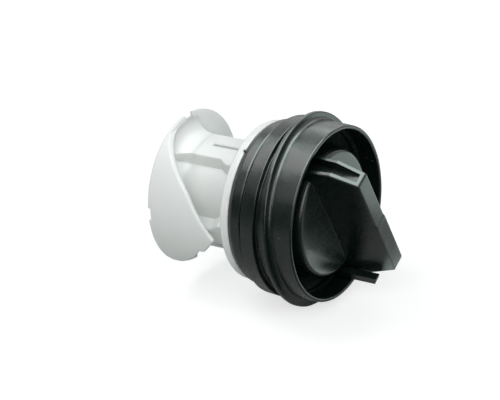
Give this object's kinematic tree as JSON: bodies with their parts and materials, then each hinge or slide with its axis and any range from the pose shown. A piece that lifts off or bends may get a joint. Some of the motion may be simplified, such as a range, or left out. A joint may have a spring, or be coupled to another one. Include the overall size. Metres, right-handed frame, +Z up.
{
  "type": "washing machine drain pump filter",
  "caption": "Drain pump filter with a hollow twist handle, a stepped rubber sealing cuff and a white lint insert with slit arms, a notched rear disc and a guide blade",
  "frame": {"origin": "on the filter's axis, in the middle of the cuff's sealing land", "axes": "+Y runs along the filter's axis from the handle to the rear disc, +Z is up as the filter lies, +X is right as seen from the handle"},
  "size_m": [0.068, 0.0783, 0.068],
  "materials": {
    "black_plastic": "moulded, fine satin",
    "black_rubber": "moulded rubber, soft sheen",
    "white_plastic": "moulded, natural white"
  },
  "bodies": {
    "root": {"grip": "black_plastic", "sealing_cuff": "black_rubber", "filter_insert": "white_plastic"}
  },
  "joints": []
}
